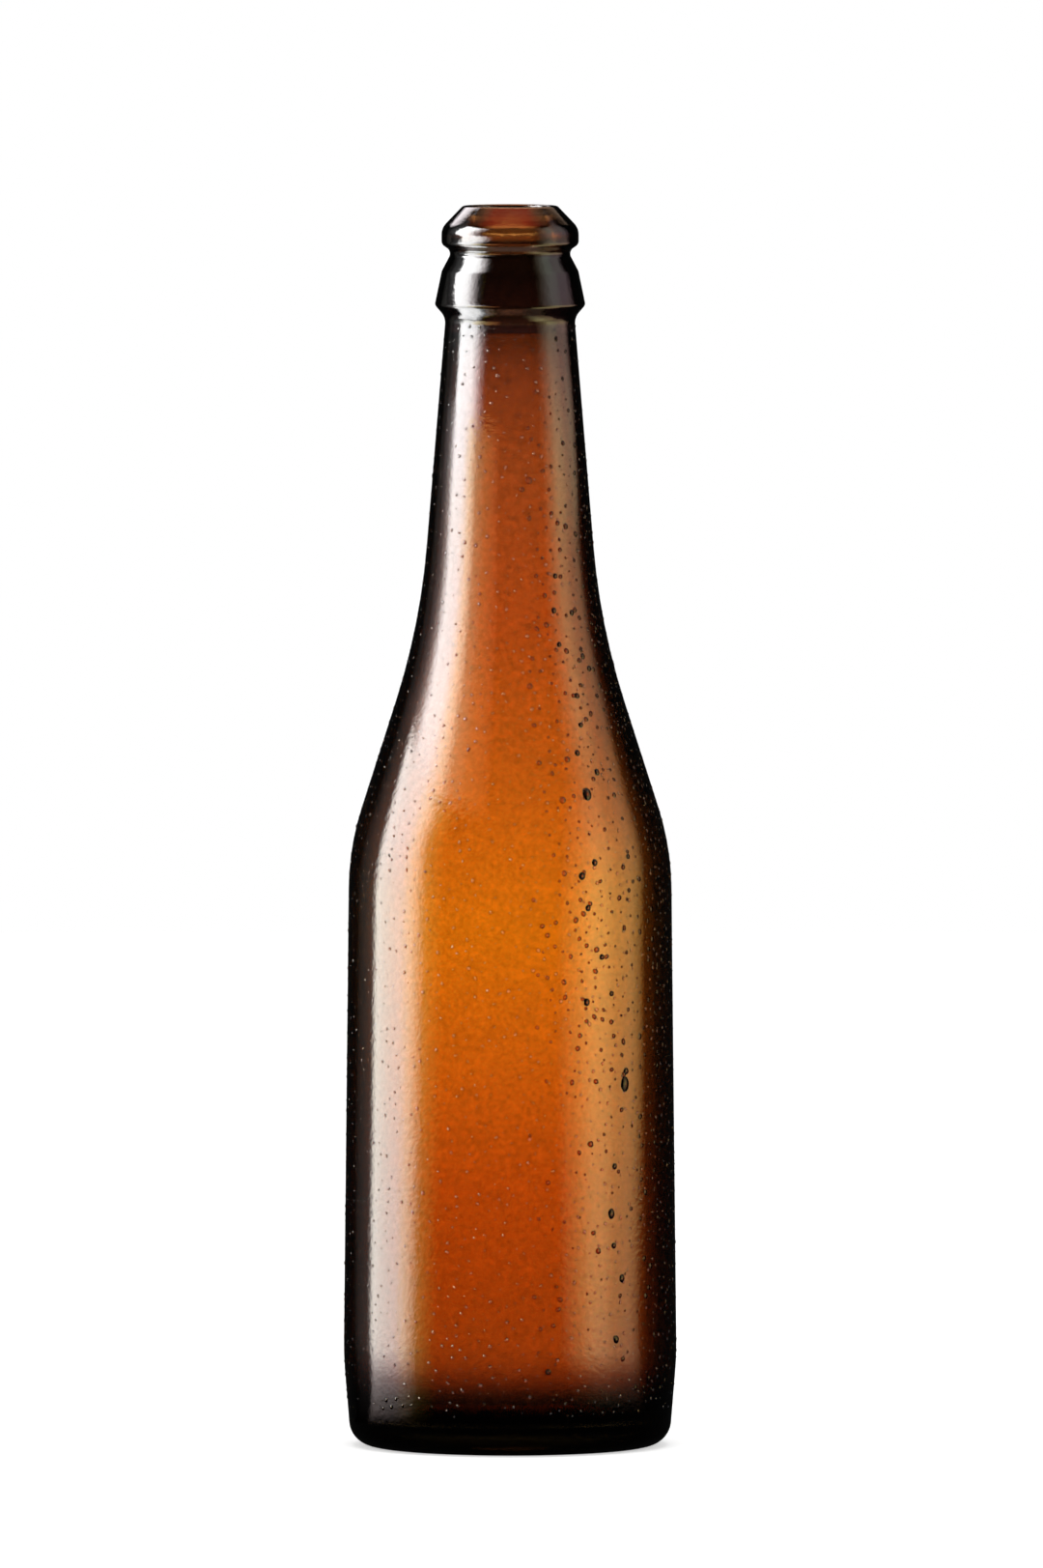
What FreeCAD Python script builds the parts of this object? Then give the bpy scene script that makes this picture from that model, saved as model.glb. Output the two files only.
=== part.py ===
"""Long-neck beer bottle of amber glass with a crown finish, open and filled with beer.

Lengths are in millimetres. +Z is up and is the bottle's axis, and the origin is the centre of the
flat ring that the bottle stands on. Both pieces are turned about the axis from outlines given as
corners, (distance from the axis, height, rounding radius), which tangent arcs then round off.
"""
import FreeCAD, Part
import math
import os

# The whole bottle. The body is widest at the band above the heel and draws in a little above it.
HEIGHT = 228.9
BODY_RADIUS = 30.75
SHOULDER_DRAW_IN = 1.03
NECK_TOP_RADIUS = 11.9

# Base: the flat ring it stands on, the push-up inside the ring, and the heel outside it.
PUSH_UP_HEIGHT = 4.2
PUSH_UP_FLAT_RADIUS = 11.0
PUSH_UP_ROUNDING = 38.0
BEARING_INNER_RADIUS = 21.8
BEARING_ROUNDING = 1.6
HEEL_DRAW_IN = 1.35
HEEL_ROUNDING = 4.6
HEEL_BAND_HEIGHT = 16.5
HEEL_BAND_ROUNDING = 60.0

# Shoulder and neck. The shoulder slope lies between its lower and its upper corner.
SHOULDER_HEIGHT = 110.6
SHOULDER_ROUNDING = 50.0
NECK_FOOT_HEIGHT = 151.5
NECK_FOOT_RADIUS = 16.6
NECK_FOOT_ROUNDING = 130.0

# Crown finish. Depths are measured down from the mouth.
BORE_RADIUS = 7.9
MOUTH_ROUNDING = 1.1
LIP_LAND_WIDTH = 0.8
LIP_CREST_ROUNDING = 2.4
LIP_RADIUS = 12.65
LIP_SLOPE_DEPTH = 4.1
LIP_ROUNDING = 3.0
LIP_DEPTH = 7.1
LIP_EDGE_ROUNDING = 1.2
GROOVE_RADIUS = 10.7
GROOVE_DEPTH = 8.4
GROOVE_ROUNDING = 1.3
RING_TOP_RADIUS = 12.6
RING_TOP_DEPTH = 12.0
RING_TOP_ROUNDING = 2.0
RING_RADIUS = 13.9
RING_DEPTH = 18.25
RING_ROUNDING = 0.9
RING_FOOT_DEPTH = 20.6
RING_FOOT_ROUNDING = 3.0

# Glass thickness, measured level from the outside inwards, and at the base straight up.
NECK_WALL = 2.6
NECK_FOOT_WALL = 2.4
SHOULDER_WALL = 2.2
HEEL_WALL = 2.2
BASE_THICKNESS = 4.0
HEEL_CORNER_THICKNESS = 1.6
FLOOR_ROUNDING = 30.0
INNER_HEEL_ROUNDING = 6.5
BORE_LENGTH = 15.3
BORE_FOOT_ROUNDING = 30.0

# Beer: how far its surface lies below the mouth, and how far it climbs where it meets the glass.
FILL_DEPTH = 24.3
MENISCUS_RISE = 1.1

# Share of a straight that the roundings at its two ends may take up between them.
ROUNDING_SHARE = 0.98


def outside_corners():
    """The outside, from the middle of the push-up, round the base and up to the lip."""
    return [
        (0.0, PUSH_UP_HEIGHT, 0.0),
        (PUSH_UP_FLAT_RADIUS, PUSH_UP_HEIGHT, PUSH_UP_ROUNDING),
        (BEARING_INNER_RADIUS, 0.0, BEARING_ROUNDING),
        (BODY_RADIUS - HEEL_DRAW_IN, 0.0, HEEL_ROUNDING),
        (BODY_RADIUS, HEEL_BAND_HEIGHT, HEEL_BAND_ROUNDING),
        (BODY_RADIUS - SHOULDER_DRAW_IN, SHOULDER_HEIGHT, SHOULDER_ROUNDING),
        (NECK_FOOT_RADIUS, NECK_FOOT_HEIGHT, NECK_FOOT_ROUNDING),
        (NECK_TOP_RADIUS, HEIGHT - RING_FOOT_DEPTH, RING_FOOT_ROUNDING),
        (RING_RADIUS, HEIGHT - RING_DEPTH, RING_ROUNDING),
        (RING_TOP_RADIUS, HEIGHT - RING_TOP_DEPTH, RING_TOP_ROUNDING),
        (GROOVE_RADIUS, HEIGHT - GROOVE_DEPTH, GROOVE_ROUNDING),
        (LIP_RADIUS, HEIGHT - LIP_DEPTH, LIP_EDGE_ROUNDING),
        (LIP_RADIUS, HEIGHT - LIP_SLOPE_DEPTH, LIP_ROUNDING),
        (BORE_RADIUS + LIP_LAND_WIDTH, HEIGHT, LIP_CREST_ROUNDING),
    ]


def inside_corners():
    """The inside, from the edge of the mouth down to the middle of the floor."""
    floor_height = PUSH_UP_HEIGHT + BASE_THICKNESS
    neck_top_height = HEIGHT - RING_FOOT_DEPTH
    return [
        (BORE_RADIUS, HEIGHT, MOUTH_ROUNDING),
        (BORE_RADIUS, HEIGHT - BORE_LENGTH, BORE_FOOT_ROUNDING),
        (NECK_TOP_RADIUS - NECK_WALL, neck_top_height, BORE_FOOT_ROUNDING),
        (NECK_FOOT_RADIUS - NECK_FOOT_WALL, NECK_FOOT_HEIGHT, NECK_FOOT_ROUNDING),
        (BODY_RADIUS - SHOULDER_DRAW_IN - SHOULDER_WALL, SHOULDER_HEIGHT, SHOULDER_ROUNDING),
        (BODY_RADIUS - HEEL_WALL, HEEL_BAND_HEIGHT, HEEL_BAND_ROUNDING),
        (BODY_RADIUS - HEEL_DRAW_IN - HEEL_WALL, HEEL_CORNER_THICKNESS, INNER_HEEL_ROUNDING),
        (PUSH_UP_FLAT_RADIUS, floor_height, FLOOR_ROUNDING),
        (0.0, floor_height, 0.0),
    ]


def point(distance, height):
    """A point of an outline, which lies in the XZ plane."""
    return FreeCAD.Vector(distance, 0.0, height)


def tangent_lengths(places, radii):
    """How far each corner's rounding reaches along the straights beside it."""
    lengths = [0.0] * len(places)
    for index in range(1, len(places) - 1):
        arriving = places[index] - places[index - 1]
        leaving = places[index + 1] - places[index]
        lengths[index] = radii[index] * math.tan(arriving.getAngle(leaving) / 2.0)
    for index in range(len(places) - 1):
        straight = (places[index + 1] - places[index]).Length * ROUNDING_SHARE
        wanted = lengths[index] + lengths[index + 1]
        if wanted > straight:
            lengths[index] *= straight / wanted
            lengths[index + 1] *= straight / wanted
    return lengths


def rounded_edges(corners):
    """Straights and tangent arcs through the corners. A corner with no rounding stays sharp."""
    places = [point(distance, height) for distance, height, radius in corners]
    lengths = tangent_lengths(places, [radius for distance, height, radius in corners])
    edges = []
    reached = places[0]
    for before, corner, after, length in zip(places, places[1:], places[2:], lengths[1:]):
        arriving = (corner - before).normalize()
        leaving = (after - corner).normalize()
        start = corner - arriving * length
        edges.append(Part.LineSegment(reached, start).toShape())
        reached = corner + leaving * length
        if length > 0.0:
            half_turn = arriving.getAngle(leaving) / 2.0
            radius = length / math.tan(half_turn)
            inwards = (leaving - arriving).normalize()
            middle = corner + inwards * (radius / math.cos(half_turn) - radius)
            edges.append(Part.Arc(start, middle, reached).toShape())
    edges.append(Part.LineSegment(reached, places[-1]).toShape())
    return edges


def turned(corners):
    """The solid that an outline makes when it is turned once about the axis."""
    edges = rounded_edges(corners)
    first_distance, first_height, first_radius = corners[0]
    last_distance, last_height, last_radius = corners[-1]
    closing = Part.LineSegment(point(last_distance, last_height), point(first_distance, first_height))
    edges.append(closing.toShape())
    outline = Part.Face(Part.Wire(edges))
    return outline.revolve(FreeCAD.Vector(0, 0, 0), FreeCAD.Vector(0, 0, 1), 360.0)


def make_bottle():
    """The glass: one outline goes up the outside and down the inside."""
    return turned(outside_corners() + inside_corners())


def make_beer():
    """The drink: all of the inside below a dished surface, so it meets the glass face to face."""
    mouth_corner, *wall_corners = inside_corners()
    cavity = turned([(0.0, HEIGHT, 0.0), (BORE_RADIUS, HEIGHT, 0.0)] + wall_corners)
    level = HEIGHT - FILL_DEPTH
    wall_radius = NECK_TOP_RADIUS - NECK_WALL
    dish_radius = (wall_radius ** 2 + MENISCUS_RISE ** 2) / (2.0 * MENISCUS_RISE)
    dish = Part.makeSphere(dish_radius, FreeCAD.Vector(0, 0, level + dish_radius))
    headspace = Part.makeCylinder(BODY_RADIUS, HEIGHT, FreeCAD.Vector(0, 0, level + MENISCUS_RISE))
    return cavity.cut(headspace).cut(dish)


def main():
    """Write each piece to its own file."""
    os.makedirs("parts", exist_ok=True)
    pieces = {"bottle": make_bottle(), "beer": make_beer()}
    for name, solid in pieces.items():
        solid.exportStep("parts/" + name + ".step")
        print(name, "volume ml", round(solid.Volume / 1000.0, 1), "valid", solid.isValid())


main()
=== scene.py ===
import math

import bmesh
import bpy
from mathutils import Matrix, Vector
from mathutils.bvhtree import BVHTree


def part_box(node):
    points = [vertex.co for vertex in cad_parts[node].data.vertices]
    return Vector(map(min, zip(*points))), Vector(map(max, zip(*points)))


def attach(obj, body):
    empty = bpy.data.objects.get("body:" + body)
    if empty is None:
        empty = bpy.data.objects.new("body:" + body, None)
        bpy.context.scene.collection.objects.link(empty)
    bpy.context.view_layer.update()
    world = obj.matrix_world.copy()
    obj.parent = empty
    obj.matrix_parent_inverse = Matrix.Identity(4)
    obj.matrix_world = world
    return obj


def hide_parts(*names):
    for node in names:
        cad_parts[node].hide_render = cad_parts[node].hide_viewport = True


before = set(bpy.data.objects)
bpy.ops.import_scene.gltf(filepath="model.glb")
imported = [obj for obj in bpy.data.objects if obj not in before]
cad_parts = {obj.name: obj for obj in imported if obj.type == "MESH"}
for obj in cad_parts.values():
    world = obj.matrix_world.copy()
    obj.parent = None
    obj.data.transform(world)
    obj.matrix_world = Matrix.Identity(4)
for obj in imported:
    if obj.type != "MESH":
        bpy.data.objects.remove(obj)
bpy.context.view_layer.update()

MM = 0.001
TURN_STEPS = 216
MERGE = 1e-6
STORED_DIGITS = 8
FULL_TURN = 6.283

# The beer reaches this far into the wall round it. Its rim climbs the bore, so the top of the
# beer is widened level and only outside the flat middle.
OVERLAP = 0.25 * MM
RIM_DEPTH = 1.3 * MM
RIM_INNER_RADIUS = 8.5 * MM

# Where the glass takes another tint: the wall of the bore, the crown, and the lip, where a
# stronger painted shade on the outline begins.
BORE_EDGE = 9.6 * MM
BORE_EDGE_FADE = 0.4 * MM
CROWN_START = 207 * MM
CROWN_FULL = 209 * MM
LIP_START = 220.5 * MM
LIP_FULL = 222 * MM

# The condensation lies on the outside between these heights.
SKIN_LOWEST = 6 * MM
SKIN_HIGHEST = 206 * MM
SKIN_LEAST_FACING = 0.15

BOTTLE_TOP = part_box("bottle")[1].z
BEER_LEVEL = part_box("beer")[1].z

# Tint of one wall of the glass, by height in millimetres, with painted light in it. It is
# brightest about 96 mm up, which is a painted glow. The foot and the crown, where there is more
# glass, are dark, partly as painted shade. The lip has painted bands of light and shade.
AMBER_AND_PAINTED_LIGHT_BY_HEIGHT = (
    (0.0, (0.0, 0.0, 0.0)),
    (7.0, (0.001, 0.001, 0.001)),
    (9.3, (0.07, 0.024, 0.016)),
    (12.5, (0.31, 0.11, 0.05)),
    (17.0, (0.56, 0.23, 0.07)),
    (32.0, (0.62, 0.25, 0.055)),
    (49.0, (0.68, 0.28, 0.06)),
    (72.0, (0.78, 0.39, 0.075)),
    (96.0, (0.84, 0.475, 0.075)),
    (118.0, (0.77, 0.395, 0.10)),
    (152.0, (0.65, 0.29, 0.13)),
    (180.0, (0.56, 0.27, 0.16)),
    (196.0, (0.45, 0.21, 0.14)),
    (201.0, (0.36, 0.17, 0.12)),
    (204.5, (0.20, 0.10, 0.08)),
    (207.0, (0.11, 0.05, 0.04)),
    (209.0, (0.014, 0.004, 0.003)),
    (213.0, (0.010, 0.003, 0.002)),
    (216.0, (0.003, 0.0012, 0.0008)),
    (218.5, (0.004, 0.002, 0.001)),
    (220.6, (0.004, 0.0015, 0.001)),
    (222.3, (0.003, 0.001, 0.0008)),
    (222.8, (0.02, 0.005, 0.003)),
    (223.3, (0.60, 0.12, 0.02)),
    (223.8, (1.0, 0.26, 0.035)),
    (225.6, (1.0, 0.26, 0.035)),
    (226.0, (0.30, 0.03, 0.008)),
    (226.5, (0.08, 0.006, 0.003)),
    (227.0, (0.85, 0.32, 0.12)),
    (227.5, (1.0, 0.70, 0.32)),
    (228.2, (1.0, 0.86, 0.62)),
    (228.9, (1.0, 0.92, 0.85)),
)

# Painted shade on the outline: the share of the light that a wall lets in, by how far it turns
# away from the eye, which darkens the edges of the glass.
PAINTED_EDGE_SHADE = (
    (0.00, (1.0, 1.0, 1.0)),
    (0.11, (1.0, 1.0, 1.0)),
    (0.18, (0.66, 0.77, 0.90)),
    (0.23, (0.47, 0.55, 0.75)),
    (0.29, (0.36, 0.38, 0.55)),
    (0.37, (0.17, 0.17, 0.21)),
    (0.44, (0.03, 0.025, 0.03)),
    (0.55, (0.003, 0.003, 0.004)),
    (1.00, (0.0, 0.0, 0.0)),
)

# The same painted shade on the outline again, stronger, for the solid glass of the lip.
PAINTED_LIP_EDGE_SHADE = ((0.0, 1.0), (0.12, 1.0), (0.20, 0.45), (0.28, 0.08), (0.36, 0.02), (1.0, 0.0))

# Specks of mist that the glass lets through less or more.
MIST_SPECKS = ((0.0, 0.84), (0.35, 0.84), (0.65, 1.13), (1.0, 1.13))


# ---- nodes -------------------------------------------------------------------

def add_node(tree, kind, place, **settings):
    """A node of this kind, with its own settings."""
    node = tree.nodes.new(kind)
    node.location = place
    for setting, value in settings.items():
        setattr(node, setting, value)
    return node


def fill_ramp(node, stops):
    """Gives a colour ramp these stops, each a place and a grey or a colour."""
    ramp = node.color_ramp
    while len(ramp.elements) < len(stops):
        ramp.elements.new(0.5)
    for element, (place, shade) in zip(ramp.elements, stops):
        element.position = place
        colour = shade if isinstance(shade, tuple) else (shade,) * 3
        element.color = (*colour, 1.0)


def height_on_the_bottle(tree, top, place):
    """0 at the foot and 1 at this height."""
    x, y = place
    coordinates = add_node(tree, "ShaderNodeTexCoord", (x, y))
    parts = add_node(tree, "ShaderNodeSeparateXYZ", (x + 180, y))
    height = add_node(tree, "ShaderNodeMapRange", (x + 360, y))
    height.inputs["From Max"].default_value = top
    tree.links.new(coordinates.outputs["Object"], parts.inputs[0])
    tree.links.new(parts.outputs["Z"], height.inputs["Value"])
    return height.outputs["Result"]


def span(tree, value, start, end, place):
    """0 where a value is at its start and 1 where it is at its end."""
    node = add_node(tree, "ShaderNodeMapRange", place)
    node.inputs["From Min"].default_value = start
    node.inputs["From Max"].default_value = end
    tree.links.new(value, node.inputs["Value"])
    return node.outputs["Result"]


def multiplied(tree, first, second, place):
    """Two colours multiplied."""
    node = add_node(tree, "ShaderNodeMix", place, data_type="RGBA", blend_type="MULTIPLY")
    node.inputs["Factor"].default_value = 1.0
    tree.links.new(first, node.inputs["A"])
    tree.links.new(second, node.inputs["B"])
    return node.outputs["Result"]


def new_material(name):
    """A material with its tree and its shader."""
    material = bpy.data.materials.new(name)
    material.use_nodes = True
    tree = material.node_tree
    return material, tree, tree.nodes["Principled BSDF"]


# ---- finishes ----------------------------------------------------------------

def amber_glass():
    """Brown bottle glass, darker at the foot and the crown where there is more glass, with
    painted light in its tint (a painted glow halfway up, painted shade at the foot, the crown
    and the outline, painted bands at the lip) and a breath of mist on it.
    """
    material, tree, shader = new_material("amber_glass")
    shader.inputs["Transmission Weight"].default_value = 1.0
    shader.inputs["Roughness"].default_value = 0.07
    shader.inputs["IOR"].default_value = 1.52

    # Painted light by height: a painted glow halfway up, painted shade at the foot and the
    # crown, and painted bands at the lip.
    height = height_on_the_bottle(tree, BOTTLE_TOP, (-1500, 200))
    tint = add_node(tree, "ShaderNodeValToRGB", (-920, 200))
    fill_ramp(tint, [(z * MM / BOTTLE_TOP, shade) for z, shade in AMBER_AND_PAINTED_LIGHT_BY_HEIGHT])
    tree.links.new(height, tint.inputs["Fac"])

    coordinates = add_node(tree, "ShaderNodeTexCoord", (-1500, -420))
    outwards = add_node(tree, "ShaderNodeVectorMath", (-1320, -160), operation="MULTIPLY")
    outwards.inputs[1].default_value = (1.0, 1.0, 0.0)
    tree.links.new(coordinates.outputs["Object"], outwards.inputs[0])
    level = add_node(tree, "ShaderNodeVectorMath", (-1120, -60), operation="NORMALIZE")
    tree.links.new(outwards.outputs[0], level.inputs[0])
    # Painted shade on the outline: the tint darkens as the wall turns away from the eye,
    # measured against a level normal that points out from the axis.
    turned_away = add_node(tree, "ShaderNodeLayerWeight", (-940, -60))
    tree.links.new(level.outputs[0], turned_away.inputs["Normal"])
    edge = add_node(tree, "ShaderNodeValToRGB", (-720, -60))
    fill_ramp(edge, PAINTED_EDGE_SHADE)
    tree.links.new(turned_away.outputs["Facing"], edge.inputs["Fac"])
    # Painted shade on the outline of the lip, stronger than on the rest of the glass.
    lip_edge_shade = add_node(tree, "ShaderNodeValToRGB", (-720, -280))
    fill_ramp(lip_edge_shade, PAINTED_LIP_EDGE_SHADE)
    tree.links.new(turned_away.outputs["Facing"], lip_edge_shade.inputs["Fac"])

    radius = add_node(tree, "ShaderNodeVectorMath", (-1120, 420), operation="LENGTH")
    tree.links.new(outwards.outputs[0], radius.inputs[0])
    in_bore = span(
        tree, radius.outputs["Value"], BORE_EDGE + BORE_EDGE_FADE, BORE_EDGE, (-920, 560)
    )
    in_crown = span(
        tree, height, CROWN_START / BOTTLE_TOP, CROWN_FULL / BOTTLE_TOP, (-920, 760)
    )
    clear = add_node(tree, "ShaderNodeMath", (-700, 600), operation="MULTIPLY")
    tree.links.new(in_bore, clear.inputs[0])
    tree.links.new(in_crown, clear.inputs[1])
    in_lip = span(tree, height, LIP_START / BOTTLE_TOP, LIP_FULL / BOTTLE_TOP, (-920, 960))

    walls = add_node(tree, "ShaderNodeMix", (-520, 260), data_type="RGBA")
    walls.inputs["B"].default_value = (1.0, 0.8, 0.55, 1.0)
    tree.links.new(clear.outputs[0], walls.inputs["Factor"])
    tree.links.new(tint.outputs["Color"], walls.inputs["A"])
    # The walls carry the painted light by height and the painted shade on the outline.
    painted_walls = multiplied(tree, walls.outputs["Result"], edge.outputs["Color"], (-380, 120))
    lip = multiplied(tree, painted_walls, lip_edge_shade.outputs["Color"], (-240, 0))
    tree.links.new(in_lip, lip.node.inputs["Factor"])

    specks = add_node(tree, "ShaderNodeTexNoise", (-900, -560))
    specks.inputs["Scale"].default_value = 1000.0
    specks.inputs["Detail"].default_value = 2.0
    tree.links.new(coordinates.outputs["Object"], specks.inputs["Vector"])
    share = add_node(tree, "ShaderNodeValToRGB", (-520, -560))
    fill_ramp(share, MIST_SPECKS)
    tree.links.new(specks.outputs["Fac"], share.inputs["Fac"])
    colour = multiplied(tree, lip, share.outputs["Color"], (-120, 120))
    tree.links.new(colour, shader.inputs["Base Color"])

    mist = add_node(tree, "ShaderNodeTexNoise", (-900, -360))
    mist.inputs["Scale"].default_value = 950.0
    mist.inputs["Detail"].default_value = 3.0
    mist.inputs["Roughness"].default_value = 0.6
    tree.links.new(coordinates.outputs["Object"], mist.inputs["Vector"])
    grain = add_node(tree, "ShaderNodeBump", (-360, -360))
    grain.inputs["Strength"].default_value = 0.42
    grain.inputs["Distance"].default_value = 0.08 * MM
    tree.links.new(mist.outputs["Fac"], grain.inputs["Height"])
    tree.links.new(grain.outputs["Normal"], shader.inputs["Normal"])
    return material


def pale_beer():
    """Clear golden beer."""
    material, tree, shader = new_material("beer")
    shader.inputs["Transmission Weight"].default_value = 1.0
    shader.inputs["Roughness"].default_value = 0.0
    shader.inputs["IOR"].default_value = 1.34

    # Painted glow: the beer's tint is a little lighter halfway up.
    height = height_on_the_bottle(tree, BEER_LEVEL, (-900, 100))
    tint = add_node(tree, "ShaderNodeValToRGB", (-360, 100))
    fill_ramp(tint, [
        (0.0, (0.98, 0.62, 0.17)),
        (0.5, (1.0, 0.68, 0.20)),
        (1.0, (0.98, 0.64, 0.19)),
    ])
    tree.links.new(height, tint.inputs["Fac"])
    tree.links.new(tint.outputs["Color"], shader.inputs["Base Color"])
    return material


def cold_water(name, sides):
    """Water drops with painted shade: a tint that darkens where their sides turn away from the
    eye.
    """
    material, tree, shader = new_material(name)
    shader.inputs["Transmission Weight"].default_value = 1.0
    shader.inputs["Roughness"].default_value = 0.02
    shader.inputs["IOR"].default_value = 1.33

    # Painted shade: the tint darkens towards the rim of each drop.
    turned_away = add_node(tree, "ShaderNodeLayerWeight", (-600, 100))
    rim = add_node(tree, "ShaderNodeValToRGB", (-360, 100))
    fill_ramp(rim, sides)
    tree.links.new(turned_away.outputs["Facing"], rim.inputs["Fac"])
    tree.links.new(rim.outputs["Color"], shader.inputs["Base Color"])
    return material


# ---- glass and beer ----------------------------------------------------------

def cut_outline(node):
    """The outline of a turned solid on one side of its axis, as one wire in order.

    The cut leaves slivers and doubled points where the solid's own seam lies in the plane, and
    these are merged first.
    """
    bm = bmesh.new()
    bm.from_mesh(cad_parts[node].data)
    bmesh.ops.remove_doubles(bm, verts=bm.verts, dist=MERGE)
    everything = bm.verts[:] + bm.edges[:] + bm.faces[:]
    bmesh.ops.bisect_plane(
        bm, geom=everything, plane_co=(0, 0, 0), plane_no=(0, 1, 0),
        clear_inner=True, clear_outer=True,
    )
    other_side = [v for v in bm.verts if v.co.x < -MERGE]
    bmesh.ops.delete(bm, geom=other_side, context="VERTS")
    for v in bm.verts:
        v.co = (max(v.co.x, 0.0), 0.0, v.co.z)
    bmesh.ops.remove_doubles(bm, verts=bm.verts, dist=MERGE)

    ends = [v for v in bm.verts if len(v.link_edges) == 1]
    point, along = min(ends, key=lambda v: v.co.z), None
    outline = bmesh.new()
    outline.verts.new(point.co)
    while ways := [edge for edge in point.link_edges if edge is not along]:
        along = ways[0]
        point = along.other_vert(point)
        outline.verts.new(point.co)
    points = outline.verts[:]
    for first, second in zip(points, points[1:]):
        outline.edges.new((first, second))
    bm.free()
    return outline


def kept_in_order(bm):
    """The same faces over the same points, stored in an order that is the same each time.

    A spin or a cut stores them in a different order on each run, and the drops are scattered by
    that order.
    """
    def place(v):
        return [round(part, STORED_DIGITS) for part in v.co]

    old_points = sorted(bm.verts, key=lambda v: (place(v)[2], *place(v)[:2]))
    number = {v: index for index, v in enumerate(old_points)}
    turns = []
    for face in bm.faces:
        turn = [number[v] for v in face.verts]
        first = turn.index(min(turn))
        turns.append(turn[first:] + turn[:first])
    ordered = bmesh.new()
    points = [ordered.verts.new(place(v)) for v in old_points]
    for turn in sorted(turns):
        ordered.faces.new([points[index] for index in turn])
    ordered.normal_update()
    bm.free()
    return ordered


def spin_outline(bm):
    """An outline turned about the axis into a closed solid that faces outwards."""
    for v in bm.verts:
        if v.co.x < MERGE:
            v.co.x = 0.0
    bmesh.ops.spin(
        bm, geom=bm.verts[:] + bm.edges[:], cent=(0, 0, 0), axis=(0, 0, 1),
        angle=2 * math.pi, steps=TURN_STEPS, use_merge=True,
    )
    bmesh.ops.remove_doubles(bm, verts=bm.verts, dist=MERGE)
    bmesh.ops.recalc_face_normals(bm, faces=bm.faces)
    return kept_in_order(bm)


def add_piece(name, bm, material, smooth=True):
    """A finished piece that rides on the bottle."""
    mesh = bpy.data.meshes.new(name)
    bm.to_mesh(mesh)
    bm.free()
    for face in mesh.polygons:
        face.use_smooth = smooth
    mesh.materials.append(material)
    piece = bpy.data.objects.new(name, mesh)
    bpy.context.scene.collection.objects.link(piece)
    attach(piece, "root")
    return piece


def make_bottle_glass(material):
    """The glass of the bottle, turned finely from the outline of the solid."""
    bm = spin_outline(cut_outline("bottle"))
    piece = add_piece("bottle_glass", bm, material)
    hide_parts("bottle")
    return piece


def make_beer_fill(material):
    """The beer, which reaches just into the wall round it."""
    bm = spin_outline(cut_outline("beer"))
    for v in bm.verts:
        v.normal_update()
    rim_foot = BEER_LEVEL - RIM_DEPTH
    pushed = [(v, v.normal.copy()) for v in bm.verts if v.co.z < rim_foot]
    for v, way in pushed:
        v.co += way * OVERLAP
    for v in bm.verts:
        if v.co.z >= rim_foot:
            reach = Vector((v.co.x, v.co.y, 0))
            if reach.length > RIM_INNER_RADIUS:
                v.co += reach.normalized() * OVERLAP
    piece = add_piece("beer_fill", bm, material)
    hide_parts("beer")
    return piece


# ---- condensation ------------------------------------------------------------

# The side where the small drops crowd, and how closely a spot has to face it.
CROWDED_SIDE = (math.sin(math.radians(46.0)), -math.cos(math.radians(46.0)), 0.0)
CROWD_STARTS = 0.76
CROWD_FULL = 0.91

# How far a drop is sunk into the glass, as a share of its sphere's radius, how uneven the drops
# are, and how rare the large ones among them.
DROP_SUNK = 0.04
DROP_LEAST_SHAPE = (0.82, 0.82, 0.8)
DROP_MOST_SHAPE = (1.18, 1.18, 1.2)
FEW_LARGE_POWER = 1.8

# The drops that stand out: degrees right of the front, height, width and tallness.
LARGE_DROPS = (
    (31.5, 161.3, 1.1, 1.0),
    (28.6, 155.0, 1.1, 1.1),
    (42.1, 154.5, 1.2, 1.0),
    (30.0, 148.8, 1.1, 1.0),
    (46.0, 146.5, 1.2, 1.1),
    (49.2, 144.2, 1.2, 1.0),
    (36.9, 139.4, 1.2, 1.0),
    (35.8, 134.1, 1.1, 1.0),
    (31.3, 129.1, 1.2, 1.1),
    (39.8, 125.5, 1.2, 1.2),
    (32.7, 121.6, 2.0, 1.3),
    (47.9, 110.0, 1.1, 1.0),
    (32.0, 109.2, 1.3, 1.1),
    (26.5, 106.8, 1.4, 1.1),
    (28.7, 100.9, 1.2, 1.1),
    (34.3, 91.8, 1.2, 1.0),
    (38.5, 85.0, 1.1, 1.0),
    (28.0, 83.6, 1.3, 1.2),
    (45.0, 70.6, 1.4, 1.0),
    (44.4, 68.2, 2.2, 1.4),
    (39.3, 53.2, 1.2, 1.1),
    (37.7, 44.5, 1.6, 1.3),
    (38.7, 38.6, 1.2, 1.0),
    (42.3, 32.5, 1.4, 1.2),
    (39.5, 21.3, 1.4, 1.2),
    (13.2, 15.8, 1.2, 1.0),
    (-41.0, 9.0, 0.8, 1.0),
    (-44.0, 10.1, 0.8, 1.0),
    (-46.5, 8.6, 1.0, 1.0),
    (-49.0, 9.8, 1.0, 1.0),
    (-51.0, 8.2, 0.8, 1.0),
)


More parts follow.
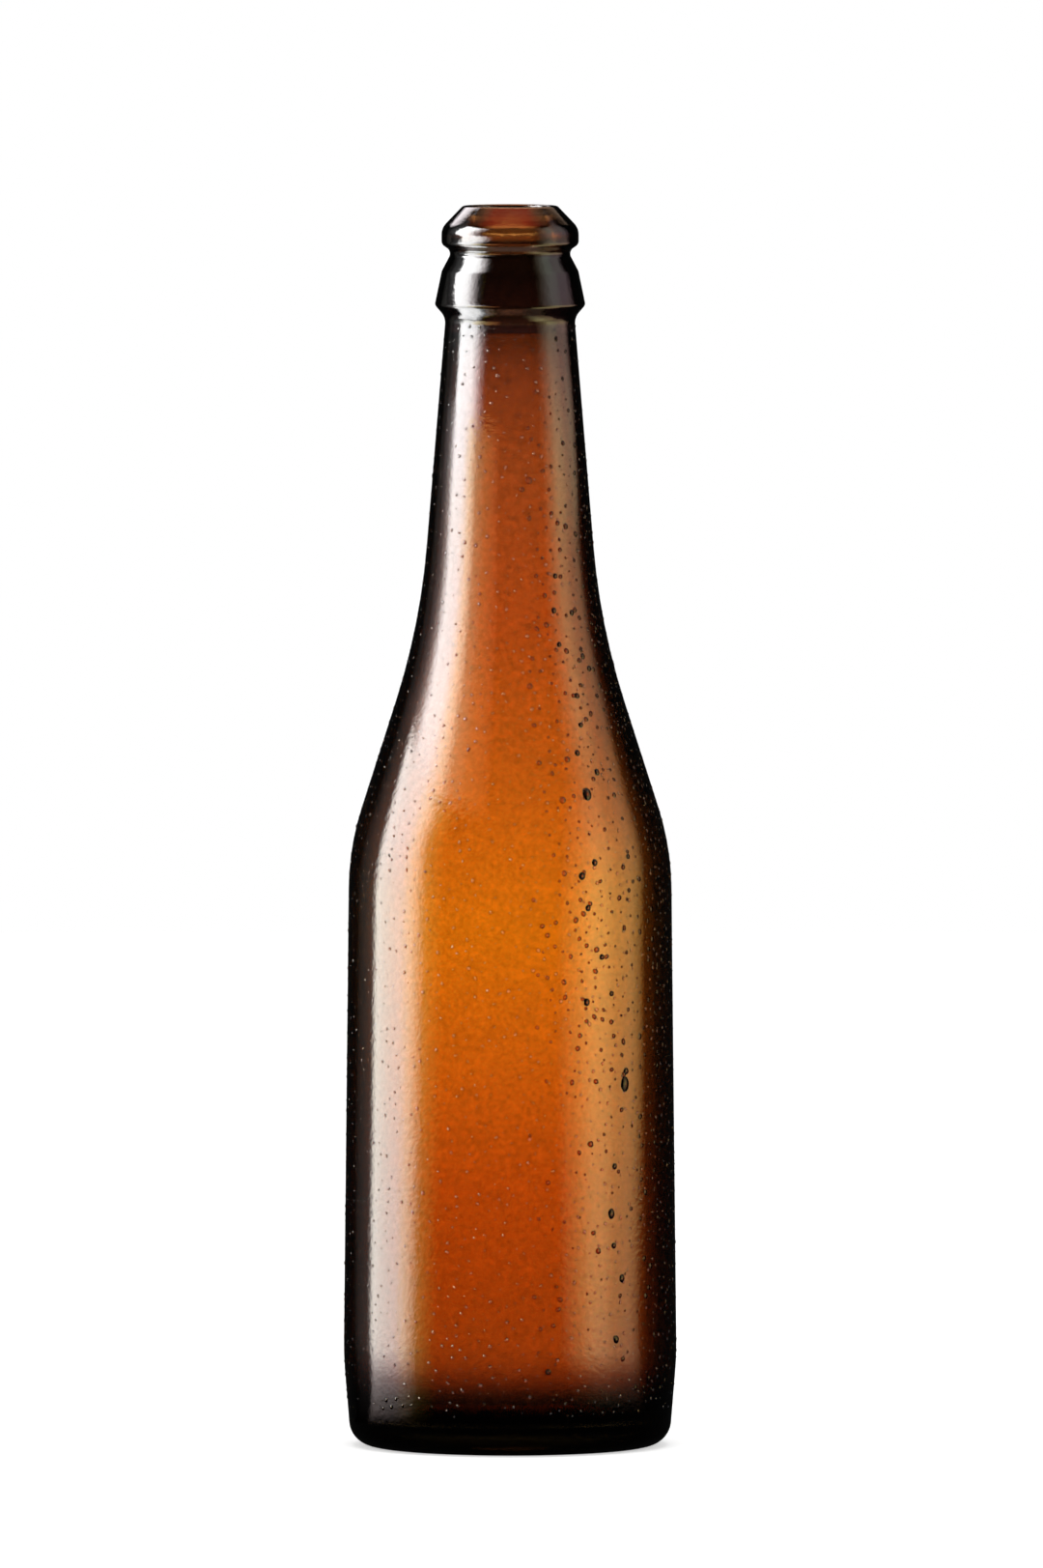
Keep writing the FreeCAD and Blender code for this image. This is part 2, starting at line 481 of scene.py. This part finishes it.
def drop_shape(name, sides, rings, wetting):
    """One drop a unit wide, its flat foot just under the surface it sits on."""
    bm = bmesh.new()
    bmesh.ops.create_uvsphere(bm, u_segments=sides, v_segments=rings, radius=1.0)
    everything = bm.verts[:] + bm.edges[:] + bm.faces[:]
    foot = math.cos(math.radians(wetting))
    cut = bmesh.ops.bisect_plane(
        bm, geom=everything, plane_co=(0, 0, foot), plane_no=(0, 0, 1), clear_inner=True,
    )
    rim = [part for part in cut["geom_cut"] if isinstance(part, bmesh.types.BMEdge)]
    bmesh.ops.contextual_create(bm, geom=rim)
    bmesh.ops.recalc_face_normals(bm, faces=bm.faces)
    bm = kept_in_order(bm)
    bmesh.ops.translate(bm, verts=bm.verts, vec=(0, 0, -foot - DROP_SUNK))
    width = math.sin(math.radians(wetting))
    bmesh.ops.scale(bm, verts=bm.verts, vec=(0.5 / width,) * 3)
    mesh = bpy.data.meshes.new(name)
    bm.to_mesh(mesh)
    bm.free()
    for face in mesh.polygons:
        face.use_smooth = len(face.vertices) < 5
    shape = bpy.data.objects.new(name, mesh)
    bpy.context.scene.collection.objects.link(shape)
    return shape


def outer_skin(glass, lowest, highest):
    """The outside of the glass between two heights, for drops to sit on."""
    bm = bmesh.new()
    bm.from_mesh(glass.data)
    spare = []
    for face in bm.faces:
        middle = face.calc_center_median()
        outwards = Vector((middle.x, middle.y, 0)).normalized()
        outside = face.normal.dot(outwards) > SKIN_LEAST_FACING
        if not outside or not lowest < middle.z < highest:
            spare.append(face)
    bmesh.ops.delete(bm, geom=spare, context="FACES")
    mesh = bpy.data.meshes.new("outer_skin")
    bm.to_mesh(mesh)
    bm.free()
    skin = bpy.data.objects.new("outer_skin", mesh)
    bpy.context.scene.collection.objects.link(skin)
    return skin


def crowding(tree, least, by_height):
    """How crowded the drops are, which is most on the right of the front."""
    place = add_node(tree, "GeometryNodeInputPosition", (-1700, -200))
    parts = add_node(tree, "ShaderNodeSeparateXYZ", (-1500, -300))
    tree.links.new(place.outputs[0], parts.inputs[0])
    level = add_node(tree, "ShaderNodeCombineXYZ", (-1300, -100))
    tree.links.new(parts.outputs["X"], level.inputs["X"])
    tree.links.new(parts.outputs["Y"], level.inputs["Y"])
    outwards = add_node(tree, "ShaderNodeVectorMath", (-1120, -100), operation="NORMALIZE")
    tree.links.new(level.outputs[0], outwards.inputs[0])
    facing = add_node(tree, "ShaderNodeVectorMath", (-940, -100), operation="DOT_PRODUCT")
    facing.inputs[1].default_value = CROWDED_SIDE
    tree.links.new(outwards.outputs[0], facing.inputs[0])
    side = add_node(tree, "ShaderNodeMapRange", (-760, -100))
    side.inputs["From Min"].default_value = CROWD_STARTS
    side.inputs["From Max"].default_value = CROWD_FULL
    side.inputs["To Min"].default_value = least
    tree.links.new(facing.outputs["Value"], side.inputs["Value"])

    height = add_node(tree, "ShaderNodeMath", (-1300, -400), operation="DIVIDE")
    height.inputs[1].default_value = BOTTLE_TOP
    tree.links.new(parts.outputs["Z"], height.inputs[0])
    band = add_node(tree, "ShaderNodeValToRGB", (-1120, -400))
    fill_ramp(band, [(z * MM / BOTTLE_TOP, share) for z, share in by_height])
    tree.links.new(height.outputs[0], band.inputs["Fac"])
    share = add_node(tree, "ShaderNodeMath", (-760, -300), operation="MULTIPLY")
    tree.links.new(side.outputs["Result"], share.inputs[0])
    tree.links.new(band.outputs["Color"], share.inputs[1])
    return share.outputs[0]


def scatter_nodes(name, shape, spacing, density, smallest, largest, least, by_height, seed):
    """Nodes that set one drop shape all over a surface, in many sizes."""
    tree = bpy.data.node_groups.new(name, "GeometryNodeTree")
    tree.interface.new_socket("Geometry", in_out="INPUT", socket_type="NodeSocketGeometry")
    tree.interface.new_socket("Geometry", in_out="OUTPUT", socket_type="NodeSocketGeometry")
    surface = add_node(tree, "NodeGroupInput", (-900, 0))
    result = add_node(tree, "NodeGroupOutput", (700, 0))

    spots = add_node(
        tree, "GeometryNodeDistributePointsOnFaces", (-600, 0), distribute_method="POISSON"
    )
    spots.inputs["Distance Min"].default_value = spacing
    spots.inputs["Density Max"].default_value = density
    spots.inputs["Seed"].default_value = seed
    tree.links.new(surface.outputs[0], spots.inputs["Mesh"])
    tree.links.new(crowding(tree, least, by_height), spots.inputs["Density Factor"])

    chance = add_node(tree, "FunctionNodeRandomValue", (-600, -300), data_type="FLOAT")
    chance.inputs["Seed"].default_value = seed + 1
    few_large = add_node(tree, "ShaderNodeMath", (-420, -300), operation="POWER")
    few_large.inputs[1].default_value = FEW_LARGE_POWER
    size = add_node(tree, "ShaderNodeMapRange", (-240, -300))
    size.inputs["To Min"].default_value = smallest
    size.inputs["To Max"].default_value = largest
    tree.links.new(chance.outputs[1], few_large.inputs[0])
    tree.links.new(few_large.outputs[0], size.inputs["Value"])

    shape_chance = add_node(
        tree, "FunctionNodeRandomValue", (-240, -560), data_type="FLOAT_VECTOR"
    )
    shape_chance.inputs[0].default_value = DROP_LEAST_SHAPE
    shape_chance.inputs[1].default_value = DROP_MOST_SHAPE
    shape_chance.inputs["Seed"].default_value = seed + 2
    stretch = add_node(tree, "ShaderNodeVectorMath", (-40, -400), operation="SCALE")
    tree.links.new(shape_chance.outputs[0], stretch.inputs[0])
    tree.links.new(size.outputs["Result"], stretch.inputs["Scale"])

    turn_chance = add_node(
        tree, "FunctionNodeRandomValue", (-600, 260), data_type="FLOAT_VECTOR"
    )
    turn_chance.inputs[0].default_value = (0.0, 0.0, 0.0)
    turn_chance.inputs[1].default_value = (0.0, 0.0, FULL_TURN)
    turn_chance.inputs["Seed"].default_value = seed + 3
    turn = add_node(tree, "FunctionNodeEulerToRotation", (-400, 260))
    stand = add_node(
        tree, "FunctionNodeRotateRotation", (-200, 200), rotation_space="LOCAL"
    )
    tree.links.new(turn_chance.outputs[0], turn.inputs[0])
    tree.links.new(spots.outputs["Rotation"], stand.inputs["Rotation"])
    tree.links.new(turn.outputs[0], stand.inputs["Rotate By"])

    one_drop = add_node(tree, "GeometryNodeObjectInfo", (-200, -120))
    one_drop.inputs["Object"].default_value = shape
    place = add_node(tree, "GeometryNodeInstanceOnPoints", (100, 0))
    solid = add_node(tree, "GeometryNodeRealizeInstances", (400, 0))
    tree.links.new(spots.outputs["Points"], place.inputs["Points"])
    tree.links.new(one_drop.outputs["Geometry"], place.inputs["Instance"])
    tree.links.new(stand.outputs[0], place.inputs["Rotation"])
    tree.links.new(stretch.outputs[0], place.inputs["Scale"])
    tree.links.new(place.outputs[0], solid.inputs[0])
    tree.links.new(solid.outputs[0], result.inputs[0])
    return tree


def make_drops(name, skin, shape, material, **spread):
    """Drops of one kind all over the skin, as one plain mesh."""
    tree = scatter_nodes(name, shape, **spread)
    modifier = skin.modifiers.new(name, "NODES")
    modifier.node_group = tree
    depsgraph = bpy.context.evaluated_depsgraph_get()
    mesh = bpy.data.meshes.new_from_object(skin.evaluated_get(depsgraph))
    mesh.name = name
    mesh.materials.clear()
    mesh.materials.append(material)
    skin.modifiers.remove(modifier)
    bpy.data.node_groups.remove(tree)
    piece = bpy.data.objects.new(name, mesh)
    bpy.context.scene.collection.objects.link(piece)
    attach(piece, "root")
    return piece


def make_large_drops(glass, shape, material):
    """The drops that stand out, each set on the glass where it belongs."""
    bm = bmesh.new()
    glass_mesh = bmesh.new()
    glass_mesh.from_mesh(glass.data)
    surface = BVHTree.FromBMesh(glass_mesh)
    glass_mesh.free()
    for angle, height, width, tallness in LARGE_DROPS:
        turn = math.radians(angle)
        outwards = Vector((math.sin(turn), -math.cos(turn), 0.0))
        start = outwards * 0.1 + Vector((0, 0, height * MM))
        spot, normal = surface.ray_cast(start, -outwards)[:2]
        sideways = Vector((0, 0, 1)).cross(normal).normalized()
        stand = Matrix((sideways, normal.cross(sideways), normal)).transposed().to_4x4()
        size = Matrix.Diagonal((width * MM, width * tallness * MM, width * MM, 1.0))
        earlier = len(bm.verts)
        bm.from_mesh(shape.data)
        new_verts = bm.verts[:][earlier:]
        bmesh.ops.transform(bm, verts=new_verts, matrix=Matrix.Translation(spot) @ stand @ size)
    add_piece("large_drops", bm, material)


def make_condensation(glass, water, mist):
    """Mist, small drops and large drops, each kind one piece."""
    skin = outer_skin(glass, SKIN_LOWEST, SKIN_HIGHEST)
    fine = drop_shape("fine_drop", 6, 10, 35)
    round_drop = drop_shape("round_drop", 12, 16, 42)
    make_drops(
        "mist_drops", skin, fine, mist,
        spacing=1.5 * MM, density=420000, smallest=0.40 * MM, largest=0.90 * MM,
        least=0.7, by_height=[(6, 0.9), (206, 1.0)], seed=11,
    )
    make_drops(
        "small_drops", skin, round_drop, water,
        spacing=1.7 * MM, density=330000, smallest=0.5 * MM, largest=1.2 * MM,
        least=0.02,
        by_height=[(6, 0.1), (14, 0.3), (60, 0.4), (85, 0.9), (165, 1.0), (195, 0.3)],
        seed=23,
    )
    make_large_drops(glass, round_drop, water)
    for spare in (skin, fine, round_drop):
        bpy.data.objects.remove(spare)


# ---- studio ------------------------------------------------------------------

# The world as a light, and what is added to the floor for the eye alone.
PLAIN_LIGHT = 0.55
FLOOR_LIFT = 0.55


def add_stage(name, bm, material):
    """A piece of the set, which isn't part of the object."""
    mesh = bpy.data.meshes.new(name)
    bm.to_mesh(mesh)
    bm.free()
    mesh.materials.append(material)
    piece = bpy.data.objects.new(name, mesh)
    bpy.context.scene.collection.objects.link(piece)
    return piece


def make_world():
    """A white world for the eye and for what glass shows, plainer as a light."""
    world = bpy.data.worlds.new("studio_world")
    bpy.context.scene.world = world
    world.use_nodes = True
    tree = world.node_tree
    background = tree.nodes["Background"]
    background.inputs["Color"].default_value = (1.0, 1.0, 1.0, 1.0)
    path = add_node(tree, "ShaderNodeLightPath", (-700, 0))
    seen = add_node(tree, "ShaderNodeMath", (-500, 0), operation="MAXIMUM")
    shown = add_node(tree, "ShaderNodeMath", (-340, 0), operation="MAXIMUM")
    level = add_node(tree, "ShaderNodeMapRange", (-180, 0))
    level.inputs["To Min"].default_value = PLAIN_LIGHT
    level.inputs["To Max"].default_value = 1.0
    tree.links.new(path.outputs["Is Camera Ray"], seen.inputs[0])
    tree.links.new(path.outputs["Is Glossy Ray"], seen.inputs[1])
    tree.links.new(seen.outputs[0], shown.inputs[0])
    tree.links.new(path.outputs["Is Transmission Ray"], shown.inputs[1])
    tree.links.new(shown.outputs[0], level.inputs["Value"])
    tree.links.new(level.outputs["Result"], background.inputs["Strength"])


def make_floor():
    """A plain pale floor that keeps the shadow of the bottle."""
    material = bpy.data.materials.new("pale_floor")
    material.use_nodes = True
    tree = material.node_tree
    tree.nodes.clear()
    output = add_node(tree, "ShaderNodeOutputMaterial", (600, 0))
    lit = add_node(tree, "ShaderNodeBsdfDiffuse", (-200, 100))
    lit.inputs["Color"].default_value = (0.80, 0.80, 0.80, 1.0)
    glow = add_node(tree, "ShaderNodeEmission", (-200, -100))
    path = add_node(tree, "ShaderNodeLightPath", (-600, 0))
    lift = add_node(tree, "ShaderNodeMath", (-400, -100), operation="MULTIPLY")
    lift.inputs[1].default_value = FLOOR_LIFT
    both = add_node(tree, "ShaderNodeAddShader", (0, 0))
    white = add_node(tree, "ShaderNodeEmission", (0, -200))
    shown = add_node(tree, "ShaderNodeMath", (-200, 300), operation="MAXIMUM")
    choice = add_node(tree, "ShaderNodeMixShader", (300, 0))
    tree.links.new(path.outputs["Is Camera Ray"], lift.inputs[0])
    tree.links.new(lift.outputs[0], glow.inputs["Strength"])
    tree.links.new(lit.outputs[0], both.inputs[0])
    tree.links.new(glow.outputs[0], both.inputs[1])
    tree.links.new(path.outputs["Is Glossy Ray"], shown.inputs[0])
    tree.links.new(path.outputs["Is Transmission Ray"], shown.inputs[1])
    tree.links.new(shown.outputs[0], choice.inputs["Fac"])
    tree.links.new(both.outputs[0], choice.inputs[1])
    tree.links.new(white.outputs[0], choice.inputs[2])
    tree.links.new(choice.outputs[0], output.inputs["Surface"])
    bm = bmesh.new()
    bmesh.ops.create_circle(bm, cap_ends=True, segments=96, radius=1.5)
    floor = add_stage("floor", bm, material)
    floor.visible_glossy = False


def make_dark_cloth():
    """Dark cloth round the set, seen only in the gloss, which keeps the outline dark."""
    material, tree, shader = new_material("dark_cloth")
    shader.inputs["Base Color"].default_value = (0.01, 0.01, 0.01, 1.0)
    shader.inputs["Roughness"].default_value = 1.0
    shader.inputs["Specular IOR Level"].default_value = 0.0
    bm = bmesh.new()
    bmesh.ops.create_uvsphere(bm, u_segments=48, v_segments=24, radius=2.4)
    cloth = add_stage("dark_cloth", bm, material)
    cloth.visible_camera = False
    cloth.visible_diffuse = False
    cloth.visible_transmission = False
    cloth.visible_shadow = False


def make_glowing_sheet(name, lights, spread, place, one_sided=False):
    """A bent sheet that glows, on both sides or on its front, and is seen only in the gloss.

    lights gives the light and the tint of each row, and spread the share of that light from the
    start of a row to its end. place gives the spot for a row and a share of the way along it.
    """
    last = len(lights) - 1
    brightest = max(light for light, tint in lights)

    material = bpy.data.materials.new(name)
    material.use_nodes = True
    tree = material.node_tree
    tree.nodes.clear()
    where = add_node(tree, "ShaderNodeUVMap", (-900, 0))
    parts = add_node(tree, "ShaderNodeSeparateXYZ", (-720, 0))
    tree.links.new(where.outputs["UV"], parts.inputs[0])
    level = add_node(tree, "ShaderNodeValToRGB", (-480, 140))
    fill_ramp(level, [
        (index / last, tuple(light / brightest * part for part in tint))
        for index, (light, tint) in enumerate(lights)
    ])
    tree.links.new(parts.outputs["Y"], level.inputs["Fac"])
    across = add_node(tree, "ShaderNodeValToRGB", (-480, -140))
    fill_ramp(across, spread)
    tree.links.new(parts.outputs["X"], across.inputs["Fac"])
    toned = add_node(tree, "ShaderNodeMix", (-160, 0), data_type="RGBA", blend_type="MULTIPLY")
    toned.inputs["Factor"].default_value = 1.0
    tree.links.new(level.outputs["Color"], toned.inputs["A"])
    tree.links.new(across.outputs["Color"], toned.inputs["B"])
    glow = add_node(tree, "ShaderNodeEmission", (80, 0))
    glow.inputs["Strength"].default_value = brightest
    tree.links.new(toned.outputs["Result"], glow.inputs["Color"])
    output = add_node(tree, "ShaderNodeOutputMaterial", (480, 0))
    tree.links.new(glow.outputs[0], output.inputs["Surface"])
    if one_sided:
        side = add_node(tree, "ShaderNodeNewGeometry", (80, 260))
        nothing = add_node(tree, "ShaderNodeBsdfTransparent", (80, -160))
        front = add_node(tree, "ShaderNodeMixShader", (280, 0))
        tree.links.new(side.outputs["Backfacing"], front.inputs["Fac"])
        tree.links.new(glow.outputs[0], front.inputs[1])
        tree.links.new(nothing.outputs[0], front.inputs[2])
        tree.links.new(front.outputs[0], output.inputs["Surface"])

    bm = bmesh.new()
    bm.loops.layers.uv.new("UVMap")
    bmesh.ops.create_grid(bm, x_segments=32, y_segments=last, size=0.5, calc_uvs=True)
    for v in bm.verts:
        v.co = place(round((v.co.y + 0.5) * last), v.co.x + 0.5)
    sheet = add_stage(name, bm, material)
    sheet.visible_camera = False
    sheet.visible_diffuse = False
    sheet.visible_transmission = False
    sheet.visible_shadow = False


def make_side_light(name, side, rows, spread):
    """A curved sheet of light beside the bottle, or one that starts on the table before it.

    side is -1 for the left and 1 for the right. Each row gives its distance and height, the
    angles from the front between which it runs, its light and its tint.
    """
    def place(row, along):
        distance, height, first_angle, last_angle = rows[row][:4]
        angle = math.radians(first_angle + (last_angle - first_angle) * along)
        return (side * distance * math.sin(angle), -distance * math.cos(angle), height)

    make_glowing_sheet(name, [row[4:] for row in rows], spread, place)


def make_overhead_light(name, distance, half_width, rows, spread):
    """A warm strip over the mouth. Each row gives its angle up from the front and its light."""
    def place(row, along):
        angle = math.radians(rows[row][0])
        reach = distance * math.cos(angle)
        return ((2 * along - 1) * half_width, -reach, BOTTLE_TOP + distance * math.sin(angle))

    make_glowing_sheet(name, [row[1:] for row in rows], spread, place)


def make_ring_light():
    """A small card beside the neck, lit on its upper side, for the underside of the ring.

    Each row gives its distance from the axis and its light.
    """
    rows = ((0.018, 11.0), (0.030, 13.0), (0.042, 13.0), (0.054, 13.0), (0.062, 0.0))

    def place(row, along):
        angle = math.radians(50 + 55 * along)
        reach = rows[row][0]
        return (-reach * math.sin(angle), -reach * math.cos(angle), 180 * MM)

    make_glowing_sheet(
        "ring_light", [(light, (1.0, 1.0, 1.0)) for reach, light in rows], place=place,
        spread=[(0.0, 0.0), (0.15, 0.4), (0.25, 1.0), (0.88, 1.0), (1.0, 0.0)], one_sided=True,
    )


def make_lights():
    """The whole set of lights, all but the lamp seen only in the gloss.

    There are tall lights on both sides, cards by the neck, the crown and the lip, a warm strip
    over the mouth, a card under the ring and the lamp.
    """
    make_side_light(
        "left_light", side=-1,
        spread=[
            (0.0, 0.0), (0.10, (0.12, 0.10, 0.02)), (0.17, (0.24, 0.21, 0.06)),
            (0.22, (0.6, 0.5, 0.3)), (0.30, (1.0, 0.9, 0.7)), (0.40, 1.0), (0.67, 1.0),
            (0.72, 0.03), (1.0, 0.0),
        ],
        rows=[
            (0.050, 0.0, 42, 114, 0.0, (1.0, 0.80, 0.76)),
            (0.065, 0.0, 43, 118, 0.7, (1.0, 0.80, 0.76)),
            (0.09, 0.0, 45, 121, 2.0, (1.0, 0.86, 0.84)),
            (0.14, 0.0, 48, 126, 5.2, (1.0, 0.90, 0.86)),
            (0.20, 0.0, 50, 129, 7.0, (1.0, 0.92, 0.86)),
            (0.25, 0.0, 53, 131, 7.6, (1.0, 0.94, 0.87)),
            (0.30, 0.0, 52, 134, 9.6, (1.0, 0.93, 0.85)),
            (0.40, 0.0, 51, 136, 9.6, (1.0, 0.93, 0.84)),
            (0.65, 0.0, 53, 138, 9.4, (1.0, 0.95, 0.88)),
            (0.95, 0.0, 50, 139, 9.8, (1.0, 0.95, 0.84)),
            (0.95, 0.05, 48, 139, 10.9, (1.0, 0.95, 0.84)),
            (0.95, 0.14, 47, 137, 11.2, (1.0, 0.95, 0.86)),
            (0.95, 0.30, 49, 135, 11.6, (1.0, 0.97, 0.92)),
            (0.95, 0.45, 48, 137, 12.0, (1.0, 0.97, 0.92)),
            (0.95, 0.58, 44, 137, 13.0, (1.0, 0.99, 0.92)),
            (0.95, 1.20, 44, 137, 14.0, (1.0, 0.98, 0.95)),
        ],
    )
    make_side_light(
        "left_neck_light", side=-1,
        spread=[
            (0.0, 0.0), (0.05, (0.10, 0.03, 0.01)), (0.20, (0.18, 0.09, 0.03)),
            (0.33, (0.25, 0.20, 0.10)), (0.43, (0.8, 0.7, 0.5)), (0.55, 1.0), (0.70, 1.0),
            (0.80, 0.16), (0.87, 0.05), (1.0, 0.0),
        ],
        rows=[
            (0.10, 0.160, 15, 115, 13.2, (1.0, 1.0, 0.97)),
            (0.10, 0.168, 15, 115, 15.0, (1.0, 1.0, 0.97)),
            (0.10, 0.175, 15, 115, 16.0, (1.0, 1.0, 0.97)),
            (0.10, 0.181, 15, 116, 16.5, (1.0, 1.0, 0.97)),
            (0.10, 0.190, 15, 118, 17.0, (1.0, 1.0, 1.0)),
            (0.10, 0.198, 15, 118, 17.7, (1.0, 1.0, 1.0)),
        ],
    )
    make_side_light(
        "left_crown_light", side=-1,
        spread=[
            (0.0, 0.0), (0.06, 0.02), (0.15, (0.22, 0.20, 0.20)), (0.24, (0.63, 0.6, 0.6)),
            (0.35, 1.0), (0.67, 1.0), (0.72, 0.03), (1.0, 0.0),
        ],
        rows=[
            (0.10, 0.198, 36, 118, 17.7, (1.0, 1.0, 1.0)),
            (0.10, 0.206, 37, 118, 18.5, (1.0, 1.0, 1.0)),
            (0.10, 0.212, 37, 117, 19.5, (1.0, 1.0, 1.0)),
            (0.10, 0.219, 25, 110, 20.0, (1.0, 0.98, 0.95)),
            (0.10, 0.226, 25, 110, 20.0, (1.0, 1.0, 1.0)),
            (0.10, 0.235, 44, 124, 20.0, (1.0, 0.98, 0.98)),
            (0.10, 0.255, 45, 125, 21.0, (1.0, 1.0, 1.0)),
            (0.10, 0.300, 39, 128, 21.0, (1.0, 1.0, 1.0)),
            (0.10, 0.335, 39, 128, 19.0, (1.0, 1.0, 1.0)),
        ],
    )
    make_side_light(
        "left_lip_light", side=-1,
        spread=[(0.0, 0.0), (0.20, 0.6), (0.50, 1.0), (0.80, 0.6), (1.0, 0.0)],
        rows=[
            (0.12, 0.270, 128, 160, 0.0, (1.0, 0.92, 0.95)),
            (0.12, 0.285, 128, 160, 6.0, (1.0, 0.92, 0.95)),
            (0.12, 0.330, 126, 156, 9.0, (1.0, 0.90, 0.92)),
            (0.12, 0.370, 122, 148, 6.0, (1.0, 0.86, 0.86)),
            (0.12, 0.390, 120, 146, 0.0, (1.0, 0.86, 0.86)),
        ],
    )
    make_side_light(
        "right_light", side=1,
        spread=[
            (0.0, 0.0), (0.07, (0.20, 0.17, 0.15)), (0.20, (0.5, 0.5, 0.4)),
            (0.35, (0.95, 0.95, 0.9)), (0.48, (0.95, 0.9, 0.9)), (0.61, (0.7, 0.6, 0.6)),
            (0.82, (0.65, 0.5, 0.55)), (0.96, (0.2, 0.15, 0.15)), (1.0, 0.0),
        ],
        rows=[
            (0.07, 0.0, 34, 92, 0.1, (1.0, 0.80, 0.55)),
            (0.10, 0.0, 34, 92, 0.5, (1.0, 0.78, 0.50)),
            (0.15, 0.0, 34, 96, 1.7, (1.0, 0.82, 0.42)),
            (0.25, 0.0, 34, 98, 3.2, (1.0, 0.86, 0.44)),
            (0.40, 0.0, 34, 99, 3.7, (1.0, 0.88, 0.40)),
            (0.65, 0.0, 34, 100, 4.1, (1.0, 0.90, 0.36)),
            (0.95, 0.0, 33, 107, 4.3, (1.0, 0.92, 0.32)),
            (0.95, 0.08, 34, 110, 4.3, (1.0, 0.92, 0.30)),
            (0.95, 0.20, 36, 112, 3.8, (1.0, 0.88, 0.32)),
            (0.95, 0.40, 39, 113, 3.1, (1.0, 0.84, 0.38)),
            (0.95, 0.58, 42, 112, 2.1, (1.0, 0.80, 0.44)),
            (0.95, 1.20, 44, 112, 1.2, (1.0, 0.80, 0.50)),
        ],
    )
    make_side_light(
        "right_neck_light", side=1,
        spread=[
            (0.0, 0.0), (0.12, 0.0), (0.20, (0.22, 0.18, 0.12)), (0.30, (0.55, 0.5, 0.4)),
            (0.43, (1.0, 1.0, 0.85)), (0.55, (0.9, 0.9, 0.8)), (0.66, (0.7, 0.6, 0.6)),
            (0.84, (0.6, 0.5, 0.5)), (0.96, (0.15, 0.11, 0.12)), (1.0, 0.0),
        ],
        rows=[
            (0.10, 0.160, 32, 108, 1.9, (1.0, 0.80, 0.46)),
            (0.10, 0.172, 34, 108, 2.6, (1.0, 0.82, 0.46)),
            (0.10, 0.182, 35, 116, 3.3, (1.0, 0.84, 0.48)),
            (0.10, 0.195, 35, 119, 3.3, (1.0, 0.82, 0.54)),
            (0.10, 0.208, 34, 117, 2.5, (1.0, 0.80, 0.66)),
            (0.10, 0.219, 32, 112, 1.4, (1.0, 0.84, 0.72)),
            (0.10, 0.235, 31, 113, 1.5, (1.0, 0.88, 0.96)),
            (0.10, 0.270, 34, 114, 1.7, (0.96, 1.0, 0.96)),
            (0.10, 0.340, 40, 130, 1.0, (1.0, 0.90, 0.84)),
        ],
    )
    make_overhead_light(
        "overhead_light", distance=0.5, half_width=0.34,
        rows=[
            (60, 0.0, (1.0, 0.30, 0.08)),
            (66, 5.0, (1.0, 0.30, 0.08)),
            (78, 6.0, (1.0, 0.30, 0.08)),
            (83, 3.4, (1.0, 0.16, 0.05)),
            (86, 2.6, (1.0, 0.08, 0.03)),
            (92, 2.8, (1.0, 0.10, 0.04)),
            (104, 3.2, (1.0, 0.40, 0.20)),
            (120, 3.0, (1.0, 0.50, 0.26)),
            (150, 1.6, (1.0, 0.74, 0.56)),
        ],
        spread=[(0.0, 0.0), (0.12, 0.4), (0.26, 1.0), (0.74, 1.0), (0.88, 0.4), (1.0, 0.0)],
    )
    make_ring_light()
    lamp = bpy.data.lights.new("top_light", "AREA")
    lamp.shape = "DISK"
    lamp.size = 1.2
    lamp.energy = 16.0
    above = bpy.data.objects.new("top_light", lamp)
    above.location = (0.0, -0.25, 1.9)
    above.visible_transmission = False
    above.visible_glossy = False
    bpy.context.scene.collection.objects.link(above)


def make_camera():
    """A long lens aimed at the middle of the bottle, looking slightly down."""
    distance, elevation, seen_height = 5.0, math.radians(3.3), 0.2892
    aim = Vector((2.1 * MM, 0.0, 122.2 * MM))
    lens = bpy.data.cameras.new("camera")
    lens.sensor_width = 36.0
    lens.lens = lens.sensor_width * distance / seen_height
    lens.clip_start = 0.1
    lens.clip_end = 50.0
    camera = bpy.data.objects.new("camera", lens)
    back = Vector((0.0, -math.cos(elevation), math.sin(elevation)))
    camera.location = aim + back * distance
    camera.rotation_euler = (-back).to_track_quat("-Z", "Y").to_euler()
    bpy.context.scene.collection.objects.link(camera)
    bpy.context.scene.camera = camera


# ---- the bottle in its studio --------------------------------------------------

bpy.context.scene.view_settings.view_transform = "Standard"
make_camera()
make_world()
make_floor()
make_dark_cloth()
make_lights()

glass = make_bottle_glass(amber_glass())
make_beer_fill(pale_beer())
# Painted shade on the drops: a greyish brown tint in the middle that darkens to black at the
# rim. The mist darkens likewise towards its rim.
drop_painted_shade = [
    (0.0, (0.80, 0.62, 0.45)), (0.06, (0.60, 0.36, 0.22)), (0.14, (0.30, 0.10, 0.06)),
    (0.24, (0.10, 0.02, 0.015)), (0.40, (0.0, 0.0, 0.0)),
]
mist_painted_shade = [(0.0, 1.0), (0.25, 0.92), (0.45, 0.60), (0.65, 0.25), (1.0, 0.05)]
make_condensation(
    glass, cold_water("condensation", drop_painted_shade), cold_water("fine_condensation", mist_painted_shade)
)
